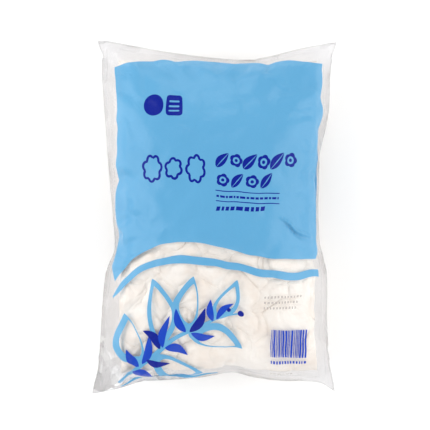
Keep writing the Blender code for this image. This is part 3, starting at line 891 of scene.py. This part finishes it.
def hollow_points(flat, lift):
    """Points inside the bag: flat places in metres, lift 0 on the back film and 1 on the front."""
    u, v = flat[:, 0] / BAG_WIDTH, flat[:, 1] / BAG_LENGTH
    front, back = creased_places(u, v, 1), creased_places(u, v, -1)
    clear = FILM_CLEAR / np.maximum(np.linalg.norm(front - back, axis=1), 1e-6)
    share = (clear + (1 - 2 * clear) * lift)[:, None]
    return back + (front - back) * share


def bend_shares(flat):
    """Moves flat places by a slow wave pattern that keeps neighbours apart.

    The waves have odd lengths, so the pattern doesn't come back within the bag.
    """
    x, y = flat.T * math.tau / WARP_WIDTH
    inward = np.minimum(flat - hollow_low, hollow_high - flat).min(1) / WARP_FADE
    fade = (WARP * ease(inward))[:, None]
    bent = flat + fade * 0.5 * np.column_stack((
        np.sin(y * 0.83 + 1.3) + 0.7 * np.sin(x * 0.61 + y * 0.44 + 4.0),
        np.sin(x * 0.91 + 0.4) + 0.7 * np.sin(y * 0.57 - x * 0.49 + 2.2)))
    low = ease(1 - bent[:, 1] / CORNER_HEIGHT)
    left = np.clip(1 - bent[:, 0] / CORNER_WIDTH, 0, 1)
    bent[:, 0] += EMPTY_CORNER[0] * low * left
    bent[:, 1] += EMPTY_CORNER[1] * left * np.clip(1 - bent[:, 1] / CORNER_FOOT, 0, 1)
    return bent


sizes = np.random.default_rng(STACK_SEED).uniform(-SIZE_SPREAD / 2, SIZE_SPREAD / 2, len(centres))


def room(k, directions):
    """How far the balls of stack k may grow from its centre in each direction on the flat bag."""
    low, high = hollow_low + (EMPTY_LEFT, -FOOT_REACH), hollow_high - (EMPTY_RIGHT, 0)
    with np.errstate(divide="ignore", invalid="ignore"):
        walls = np.where(directions > 0, (high - centres[k]) / directions,
                         (low - centres[k]) / directions)
    walls[np.abs(directions) < 1e-9] = np.inf
    best = np.full(len(directions), np.inf)
    for other, size in zip(centres, sizes):
        gap = other - centres[k]
        length = np.linalg.norm(gap)
        if length > 1e-9:
            ahead = directions @ gap
            share = 0.5 + (sizes[k] - size) / 2
            with np.errstate(divide="ignore"):
                halfway = np.where(ahead > 1e-9, length**2 * share / ahead, np.inf)
            best = np.minimum(best, halfway)
    return np.minimum(best * BALLS_MESH, walls.min(1))


def balls_in(centre):
    """How many balls the frame's stack has."""
    u, v = centre[:1] / BAG_WIDTH, centre[1:] / BAG_LENGTH
    tall = film_places(u, v, 1)[0, 2] - film_places(u, v, -1)[0, 2] - 2 * FILM_THICKNESS
    return max(1, round(tall / BALL_HEIGHT))


print(f"the {len(centres)} stacks hold {sum(balls_in(centre) for centre in centres)} balls")

# %% [markdown]
# ## One ball
# A ball starts as a fine sphere. Its folds are soft valleys along the lines where a bent noise
# is near nothing, and two finer noises add lumps. All of them only take away. Then its share of
# the bag gives it its plan, and the lift between the two films gives it its height.

# %% Shape one ball
COARSE, FINE = 4, 5           # how often the sphere's faces are split
FOLD_DEPTH, FOLD_WIDTH, NOISE_SWING = 0.12, 0.36, 0.34
LUMP_DEPTH, FINE_DEPTH = 0.090, 0.025
NOISE_SEED = 5                # unseeded, the vector noise would be another one in each run
noise.seed_set(NOISE_SEED)


def round_points(detail):
    """Points and triangles of a round ball of radius 1."""
    ball = bmesh.new()
    bmesh.ops.create_icosphere(ball, subdivisions=detail, radius=1)
    points = np.array([v.co[:] for v in ball.verts])
    faces = [[v.index for v in face.verts] for face in ball.faces]
    ball.free()
    return points, faces


round_balls = {detail: round_points(detail) for detail in (COARSE, FINE)}


def fluff(points, seed):
    """How much of its full size a ball keeps in each direction: soft folds and lumps."""
    shift = Vector((seed * 7.13, seed * 3.71, seed * 1.57))
    keep = []
    for place in points:
        place = Vector(place)
        bend = place * 1.05 + noise.noise_vector(place * 1.1 + shift) * 0.5 + shift
        fold = abs(noise.noise(bend)) / NOISE_SWING
        lump = noise.noise(place * 2.4 + shift * 2)
        fine = noise.noise(place * 6.5 + shift * 3)
        keep.append(0.99 - FOLD_DEPTH * math.exp(-(fold / FOLD_WIDTH) ** 2)
                    - LUMP_DEPTH * (0.5 + lump) - FINE_DEPTH * (0.5 + fine))
    return np.clip(np.array(keep), 0.6, 1.0)


def build_ball(name, k, low, high, seed, detail):
    """One ball in a stack, between two lifts."""
    points, faces = round_balls[detail]
    keep = fluff(points, seed)
    level = np.linalg.norm(points[:, :2], axis=1)
    directions = points[:, :2] / np.maximum(level, 1e-9)[:, None]
    directions[level < 1e-9] = (1, 0)
    wide = room(k, directions) * (1 - 0.15 * (1 - keep))
    flat = bend_shares(centres[k] + directions * (wide * level**BALL_ROUNDNESS)[:, None])
    tall = np.sign(points[:, 2]) * np.abs(points[:, 2]) ** BALL_ROUNDNESS
    lift = low + (high - low) * (0.5 + 0.5 * tall * keep)
    mesh = bpy.data.meshes.new(name)
    mesh.from_pydata(hollow_points(flat, lift).tolist(), [], faces)
    mesh.shade_smooth()
    ball = bpy.data.objects.new(name, mesh)
    bpy.context.collection.objects.link(ball)
    return ball


print(f"a fine ball has {len(round_balls[FINE][1])} triangles, a coarse one "
      f"{len(round_balls[COARSE][1])}")

# %% [markdown]
# ## All the balls
# The balls of a stack lie one on the other, so each takes an equal part of the lift from the
# back film to the front film. Only the top balls near the clear film are looked at closely,
# and only they get the finer mesh.

# %% Build all the balls
CLEAR_BELOW = 0.135           # under this height up the bag the film is clear and balls show
SIDE_SHOWS = 0.2              # and so do those in this share of the width at each side

balls = []                    # (object, the frame's stack)
for k, (centre, stack) in enumerate(zip(centres, stack_names)):
    in_stack = balls_in(centre)
    for j in range(in_stack):
        shown = j == in_stack - 1 and (centre[1] < CLEAR_BELOW
                                       or centre[0] > BAG_WIDTH * (1 - SIDE_SHOWS)
                                       or centre[0] < BAG_WIDTH * SIDE_SHOWS)
        ball = build_ball(f"cotton_ball_{k + 1:02d}_{j + 1}", k, j / in_stack,
                          (j + 1) / in_stack, k * 5 + j + 1, FINE if shown else COARSE)
        balls.append((ball, stack))
triangles = sum(len(ball.data.polygons) for ball, stack in balls)
print(f"{len(balls)} balls, {triangles} triangles")

# %% [markdown]
# ## Finishes
# A finish is a net of shader nodes, and the same few steps come back in each: a sum of two
# values, a range moved on to another range, a colour between two colours, a noise. Each is a
# helper here. Effects that belong together become node groups with named sockets.

# %% Helpers for shader nodes
def node(tree, kind, links=None, **values):
    """A node with its properties set, and its inputs linked or set by name or number."""
    made = tree.nodes.new(kind)
    for name, value in values.items():
        setattr(made, name, value)
    for name, source in (links or {}).items():
        if isinstance(source, bpy.types.NodeSocket):
            tree.links.new(source, made.inputs[name])
        else:
            made.inputs[name].default_value = source
    return made


def maths(tree, operation, first, second, **values):
    """One sum with two values, as an output."""
    return node(tree, "ShaderNodeMath", {0: first, 1: second}, operation=operation,
                **values).outputs[0]


def rescale(tree, value, low, high, to_low=0.0, to_high=1.0):
    """A value between low and high, moved on to another range, as an output."""
    return node(tree, "ShaderNodeMapRange", {
        "Value": value, "From Min": low, "From Max": high, "To Min": to_low,
        "To Max": to_high}).outputs["Result"]


def mix_colours(tree, share, first, second):
    """A colour between two colours, the second at a share of 1, as an output."""
    return node(tree, "ShaderNodeMix", {"Factor": share, "A": first, "B": second},
                data_type="RGBA").outputs["Result"]


def noise_texture(tree, place, scale, detail, roughness=0.5, distortion=0.0, **values):
    """A noise over places, as a node."""
    return node(tree, "ShaderNodeTexNoise", {
        "Vector": place, "Scale": scale, "Detail": detail, "Roughness": roughness,
        "Distortion": distortion}, **values)


def new_group(name, inputs, outputs):
    """An empty shader node group with named sockets, (name, type, default) and (name, type)."""
    group = bpy.data.node_groups.new(name, "ShaderNodeTree")
    for socket_name, kind, value in inputs:
        socket = group.interface.new_socket(socket_name, in_out="INPUT", socket_type=kind)
        socket.default_value = value
    for socket_name, kind in outputs:
        group.interface.new_socket(socket_name, in_out="OUTPUT", socket_type=kind)
    place = node(group, "ShaderNodeTexCoord").outputs["Object"]
    return group, group.nodes.new("NodeGroupInput"), place


def finish_group(group, **results):
    """Links the results to the group's named outputs."""
    out = group.nodes.new("NodeGroupOutput")
    for name, result in results.items():
        group.links.new(result, out.inputs[name])
    return group


def use_group(tree, group, links):
    """A group's node in a material, with its inputs set."""
    return node(tree, "ShaderNodeGroup", links, node_tree=group)


def tree_of(material):
    """The empty node tree of a material."""
    material.use_nodes = True
    material.node_tree.nodes.clear()
    return material.node_tree


def linear(red, green, blue):
    """A colour for a shader from its 0 to 255 screen values."""
    def channel(value):
        value /= 255
        return value / 12.92 if value <= 0.04045 else ((value + 0.055) / 1.055) ** 2.4
    return (*map(channel, (red, green, blue)), 1.0)


print(f"a screen grey of 128 is {linear(128, 128, 128)[0]:.3f} to a shader")

# %% [markdown]
# ## How film lies
# Thin film is never quite flat. Wide ripples and fine crisp ones run over all of it. Where it
# is slack it crumples into sharp facets: some are folded over themselves and look darker, and
# others are painted lighter as glints. Cells with stirred edges give the facets, and they grow
# with the slack that the skin carries.

# %% The film's ripples and crumples
RIPPLE_DISTANCE = 0.0012      # the bump's full height, in metres
CRISP_SHARE, CRUMPLE_SHARE = 0.16, 5.0        # heights of the others beside the wide ripples
STIR = 0.02                   # how far the facets' edges are stirred, in metres
FOLDED_FROM, FOLDED_TO, FOLDED_FULL = 0.3, 0.9, 1.5
# painted glints: which facets are made lighter, and how much
GLINT_FROM, GLINT_TO, GLINT_FULL = 0.24, 0.14, 1.4


def ripple_group():
    """Ripples and crumples as a normal, which facets are folded over, and which are painted
    glints.
    """
    group, given, place = new_group("film ripple", (("Strength", "NodeSocketFloat", 1.0),), (
        ("Normal", "NodeSocketVector"), ("Folded", "NodeSocketFloat"),
        ("Single", "NodeSocketFloat")))
    wide = noise_texture(group, place, 70.0, 2.0, distortion=0.8).outputs["Fac"]
    crisp = noise_texture(group, place, 150.0, 3.0, distortion=1.6,
                          noise_type="RIDGED_MULTIFRACTAL").outputs["Fac"]
    slack = node(group, "ShaderNodeAttribute", attribute_name="slack").outputs["Fac"]
    very_slack = maths(group, "POWER", slack, 2.0)
    stir = noise_texture(group, place, 45.0, 2.0).outputs["Color"]
    shifted = node(group, "ShaderNodeVectorMath", {0: stir, 1: (STIR, STIR, STIR)},
                   operation="MULTIPLY").outputs[0]
    bent = node(group, "ShaderNodeVectorMath", {0: place, 1: shifted}, operation="ADD").outputs[0]
    facets = node(group, "ShaderNodeTexVoronoi", {"Vector": bent, "Scale": 85.0})
    crumple = maths(group, "MULTIPLY", facets.outputs["Distance"], very_slack)
    height = maths(group, "ADD", wide, maths(group, "MULTIPLY", crumple, CRUMPLE_SHARE))
    height = maths(group, "ADD", height, maths(group, "MULTIPLY", crisp, CRISP_SHARE))
    bump = node(group, "ShaderNodeBump", {"Height": height, "Distance": RIPPLE_DISTANCE,
                                          "Strength": given.outputs["Strength"]})
    draw = node(group, "ShaderNodeSeparateColor", {0: facets.outputs["Color"]}).outputs["Red"]
    over = rescale(group, draw, FOLDED_FROM, FOLDED_TO, 0.0, FOLDED_FULL)
    # painted glints: these facets are made lighter than the film around them
    glinting = rescale(group, draw, GLINT_FROM, GLINT_TO, 0.0, GLINT_FULL)
    return finish_group(group, Normal=bump.outputs["Normal"],
                        Folded=maths(group, "MULTIPLY", over, very_slack, use_clamp=True),
                        Single=maths(group, "MULTIPLY", glinting, very_slack, use_clamp=True))


film_ripple = ripple_group()
print(f"group {film_ripple.name}: {len(film_ripple.nodes)} nodes")

# %% [markdown]
# ## How ink and fibre vary
# A printing roller never lays its ink quite evenly, so each ink drifts slowly between two close
# shades. Cotton is tangled fibre: fine threads lie over soft tufts, and its shade goes in
# patches where the fibre is looser.

# %% Groups for ink and for cotton
FIBRE_DISTANCE, THREAD_SHARE = 0.0011, 0.35


def wear_group():
    """Slow unevenness of a printed ink, as a colour."""
    group, given, place = new_group("ink unevenness", (
        ("Ink", "NodeSocketColor", (0.2, 0.5, 0.8, 1)),
        ("Pale ink", "NodeSocketColor", (0.3, 0.6, 0.9, 1))), (("Color", "NodeSocketColor"),))
    slow = noise_texture(group, place, 14.0, 3.0).outputs["Fac"]
    return finish_group(group, Color=mix_colours(group, slow, given.outputs["Ink"],
                                                 given.outputs["Pale ink"]))


def fibre_group():
    """Cotton fibre: fine tangled threads over soft tufts, as a normal and a shade."""
    group, given, place = new_group("cotton fibre", (("Depth", "NodeSocketFloat", 1.0),), (
        ("Normal", "NodeSocketVector"), ("Shade", "NodeSocketFloat")))
    tufts = noise_texture(group, place, 260.0, 4.0, 0.6, 0.6).outputs["Fac"]
    threads = noise_texture(group, place, 900.0, 3.0, distortion=2.5).outputs["Fac"]
    height = maths(group, "ADD", tufts, maths(group, "MULTIPLY", threads, THREAD_SHARE))
    bump = node(group, "ShaderNodeBump", {"Height": height, "Distance": FIBRE_DISTANCE,
                                          "Strength": given.outputs["Depth"]})
    patches = noise_texture(group, place, 48.0, 5.0, 0.6, 0.4).outputs["Fac"]
    return finish_group(group, Normal=bump.outputs["Normal"],
                        Shade=rescale(group, patches, 0.36, 0.60))


ink_unevenness, cotton_fibre = wear_group(), fibre_group()
for group in (ink_unevenness, cotton_fibre):
    print(f"group {group.name}: {len(group.nodes)} nodes")

# %% [markdown]
# ## The clear film
# The film is thin clear plastic. Seen square on it almost vanishes; seen edge on it turns pale
# and mirrors the room. Every layer in the way takes a little light, so loose and folded film is
# darker than tight film. Towards the lower left corner it is darker still, partly as doubled film
# and partly as painted shade, and some crumpled facets are painted lighter as glints. Real film
# scatters most light on to what lies under it, so the rays that only carry light pass almost
# freely.

# %% Paint the clear film
FILM_HAZE = linear(226, 226, 229)
FILM_TINT = (0.967, 0.965, 0.962, 1)          # light kept in one pass through the tight film
LOOSE_TINT = (0.908, 0.903, 0.906, 1)         # and where it is slack
DOUBLED_AND_SHADE_TINT = (0.820, 0.810, 0.808, 1)       # and towards the lower left corner, where it is crumpled: doubled film and painted shade
FOLDED_TINT = (0.660, 0.650, 0.645, 1)        # and in its facets that are folded over
GLINT_TINT = (1, 1, 1, 1)                    # and all of it in the facets painted lighter as glints
LIGHTING_TINT = (0.99, 0.99, 0.99, 1)         # and for the rays that only carry light
DOUBLED_AND_SHADE_X, DOUBLED_AND_SHADE_Y = (-0.045, -0.085), (0.02, -0.11)    # where the doubled film and painted shade start and are full
FULLY_LOOSE = 0.22            # the slack at which the film has the whole loose tint
FILM_ROUGHNESS, FILM_IOR = 0.20, 1.5
LEAST_HAZE, SLACK_HAZE = 0.09, 0.18           # how much haze hides square on, tight and slack
MOST_HAZE = 0.40                              # and edge on
HAZE_POWER, SHINE_SHARE = 2.5, 0.55


def film_tint(tree, ripple, slack, lighting):
    """Light left after one pass through the film, with painted shade and painted glints, as a
    colour.
    """
    place = node(tree, "ShaderNodeSeparateXYZ", {
        0: node(tree, "ShaderNodeTexCoord").outputs["Object"]}).outputs
    # painted shade: the film darkens towards the lower left corner, partly as doubled film
    doubled_and_shaded = maths(tree, "MULTIPLY", rescale(tree, place["X"], *DOUBLED_AND_SHADE_X),
                    rescale(tree, place["Y"], *DOUBLED_AND_SHADE_Y))
    tint = mix_colours(tree, rescale(tree, slack, 0.0, FULLY_LOOSE), FILM_TINT, LOOSE_TINT)
    # in turn: painted shade at the lower left, folded facets, painted glints, and light-carrying
    # rays
    for share, colour in ((doubled_and_shaded, DOUBLED_AND_SHADE_TINT), (ripple.outputs["Folded"], FOLDED_TINT),
                          (ripple.outputs["Single"], GLINT_TINT), (lighting, LIGHTING_TINT)):
        tint = mix_colours(tree, share, tint, colour)
    return tint


def paint_clear(material):
    """Clear film: see-through square on, pale and glossy where it turns away."""
    tree = tree_of(material)
    ripple = use_group(tree, film_ripple, {"Strength": 0.9})
    normal = ripple.outputs["Normal"]
    slack = node(tree, "ShaderNodeAttribute", attribute_name="slack").outputs["Fac"]
    rays = node(tree, "ShaderNodeLightPath").outputs
    lighting = maths(tree, "MAXIMUM", rays["Is Shadow Ray"], rays["Is Diffuse Ray"])
    looking = maths(tree, "SUBTRACT", 1.0, lighting)

    open_air = node(tree, "ShaderNodeBsdfTransparent", {
        "Color": film_tint(tree, ripple, slack, lighting)})
    plastic = node(tree, "ShaderNodeBsdfPrincipled", {
        "Base Color": FILM_HAZE, "Roughness": FILM_ROUGHNESS, "Normal": normal, "IOR": FILM_IOR})
    facing = node(tree, "ShaderNodeLayerWeight", {"Blend": 0.5, "Normal": normal})
    turned = maths(tree, "POWER", facing.outputs["Facing"], HAZE_POWER)
    least = rescale(tree, slack, 0.0, 1.0, LEAST_HAZE, SLACK_HAZE)
    haze = rescale(tree, turned, 0.0, 1.0, least, MOST_HAZE)
    hazy = node(tree, "ShaderNodeMixShader", {
        0: maths(tree, "MULTIPLY", haze, looking), 1: open_air.outputs[0], 2: plastic.outputs[0]})

    mirror = node(tree, "ShaderNodeBsdfGlossy", {"Color": (1, 1, 1, 1), "Normal": normal,
                                                 "Roughness": FILM_ROUGHNESS})
    behind = node(tree, "ShaderNodeNewGeometry").outputs["Backfacing"]
    bend = rescale(tree, behind, 0.0, 1.0, FILM_IOR, 1 / FILM_IOR)
    shine = node(tree, "ShaderNodeFresnel", {"IOR": bend, "Normal": normal})
    shine = maths(tree, "MULTIPLY", shine.outputs[0], SHINE_SHARE)
    glossy = node(tree, "ShaderNodeMixShader", {
        0: maths(tree, "MULTIPLY", shine, looking, use_clamp=True), 1: hazy.outputs[0],
        2: mirror.outputs[0]})
    node(tree, "ShaderNodeOutputMaterial", {"Surface": glossy.outputs[0]})


clear, pale, navy, middle_blue, faint = film.data.materials
paint_clear(clear)
print(f"clear film: {len(clear.node_tree.nodes)} nodes")

# %% [markdown]
# ## The inks
# Inks are printed on the same glossy film, so they share its ripples and its shine. The blues
# hide what lies under them almost wholly, and the faint grey lets a quarter of it through.

# %% Paint the inks
def paint_ink(material, ink, pale_ink, alpha, shine):
    """Ink on the film: the same gloss, and a flat colour that hardly varies."""
    tree = tree_of(material)
    normal = use_group(tree, film_ripple, {"Strength": 0.55}).outputs["Normal"]
    colour = use_group(tree, ink_unevenness, {"Ink": linear(*ink), "Pale ink": linear(*pale_ink)})
    plastic = node(tree, "ShaderNodeBsdfPrincipled", {
        "Base Color": colour.outputs["Color"], "Roughness": 0.30, "Normal": normal,
        "IOR": 1.45, "Specular IOR Level": shine, "Alpha": alpha})
    node(tree, "ShaderNodeOutputMaterial", {"Surface": plastic.outputs[0]})


for material, ink, pale_ink, alpha, shine in (
        (pale, (85, 157, 201), (96, 169, 212), 0.95, 0.35),
        (navy, (0, 22, 132), (2, 30, 142), 0.985, 0.15),
        (middle_blue, (6, 58, 176), (14, 68, 186), 0.98, 0.2),
        (faint, (176, 170, 166), (188, 182, 178), 0.75, 0.35)):
    paint_ink(material, ink, pale_ink, alpha, shine)
    print(f"{material.name}: hides {alpha:.1%} of what lies under it")

# %% [markdown]
# ## The cotton
# Bleached cotton is dull and off-white, a little warm where the fibre lies dense. It has almost
# no gloss. The loose fibres round a ball catch light from the side, which the sheen gives.

# %% Paint the cotton
cotton = bpy.data.materials.new("fluffy cotton")
tree = tree_of(cotton)
fibre = use_group(tree, cotton_fibre, {"Depth": 0.55})
shade = mix_colours(tree, fibre.outputs["Shade"], linear(237, 226, 215), linear(243, 237, 230))
body = node(tree, "ShaderNodeBsdfPrincipled", {
    "Base Color": shade, "Roughness": 0.95, "Normal": fibre.outputs["Normal"],
    "Specular IOR Level": 0.1, "Sheen Weight": 0.5, "Sheen Roughness": 0.5,
    "Sheen Tint": (1.0, 0.97, 0.94, 1.0)})
node(tree, "ShaderNodeOutputMaterial", {"Surface": body.outputs[0]})
for ball, stack in balls:
    ball.data.materials.append(cotton)
print("finishes:", ", ".join(material.name for material in (*film.data.materials, cotton)))

# %% [markdown]
# ## Say what each piece is
# The skin stands for the frame's film and each ball for its stack. The bag and the balls are
# soft and stuffed, and nothing in them turns or slides, so all ride on the one body.

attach(film, "root")
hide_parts("bag_film")
for ball, stack in balls:
    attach(ball, "root")
    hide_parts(stack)
print(f"{len(balls) + 1} pieces, all on the one body")

# %% [markdown]
# ## The table
# The photograph was taken on white, so the table is a plain pale sheet of paper with a grain
# that can hardly be seen. It is far larger than the bag and lies just under it.

# %% A pale table
TABLE_SIZE, TABLE_DROP = 2.4, 0.0002

table_mesh = bpy.data.meshes.new("table")
half = TABLE_SIZE / 2
table_mesh.from_pydata([(-half, -half, 0), (half, -half, 0), (half, half, 0), (-half, half, 0)],
                       [], [(0, 1, 2, 3)])
table = bpy.data.objects.new("table", table_mesh)
table.location.z = -TABLE_DROP
bpy.context.collection.objects.link(table)
white_paper = bpy.data.materials.new("white paper")
tree = tree_of(white_paper)
grain = node(tree, "ShaderNodeTexNoise", {"Scale": 240.0, "Detail": 3.0})
paper_tint = mix_colours(tree, grain.outputs["Fac"], (0.965, 0.965, 0.965, 1),
                         (0.975, 0.975, 0.975, 1))
paper = node(tree, "ShaderNodeBsdfPrincipled", {"Base Color": paper_tint, "Roughness": 0.9,
                                                "Specular IOR Level": 0.1})
node(tree, "ShaderNodeOutputMaterial", {"Surface": paper.outputs[0]})
table_mesh.materials.append(white_paper)
print(f"table {TABLE_SIZE} m wide")

# %% [markdown]
# ## The lamps and the room
# The photograph's light is soft and comes from both sides, and its shadow is faint. Two large
# soft lamps stand left and right of the bag, two weaker ones hang beyond its head and its foot,
# and a plain white room fills the rest. The room looks brighter than it lights, so the
# picture's white stays white and the balls keep their shading.

# %% The lamps and the room
ROOM_LIGHT, ROOM_LOOK = 0.63, 1.0
BAG_MIDDLE = Vector((0, 0, 0.03))


def lamp(name, place, size, power):
    """A square soft lamp that faces the bag: its place and size in metres, its power in watts."""
    light = bpy.data.lights.new(name, "AREA")
    light.shape = "SQUARE"
    light.size = size
    light.energy = power
    made = bpy.data.objects.new(name, light)
    made.location = place
    made.rotation_euler = (BAG_MIDDLE - Vector(place)).to_track_quat("-Z", "Y").to_euler()
    bpy.context.collection.objects.link(made)


lamp("left lamp", (-1.75, 0.20, 0.85), 1.7, 23.0)
lamp("right lamp", (1.75, -0.05, 0.85), 1.7, 20.0)
lamp("head lamp", (-0.2, 1.70, 1.00), 1.2, 9.0)
lamp("foot lamp", (0.1, -1.70, 1.00), 1.2, 7.0)

world = bpy.data.worlds.new("room")
bpy.context.scene.world = world
world.use_nodes = True
tree = world.node_tree
tree.nodes.clear()
rays = node(tree, "ShaderNodeLightPath")
seen = maths(tree, "MAXIMUM", rays.outputs["Is Camera Ray"], rays.outputs["Is Glossy Ray"])
dim = node(tree, "ShaderNodeBackground", {"Color": (1, 1, 1, 1), "Strength": ROOM_LIGHT})
bright = node(tree, "ShaderNodeBackground", {"Color": (1, 1, 1, 1), "Strength": ROOM_LOOK})
both = node(tree, "ShaderNodeMixShader", {0: seen, 1: dim.outputs[0], 2: bright.outputs[0]})
node(tree, "ShaderNodeOutputWorld", {"Surface": both.outputs[0]})
bpy.context.scene.view_settings.view_transform = "Standard"
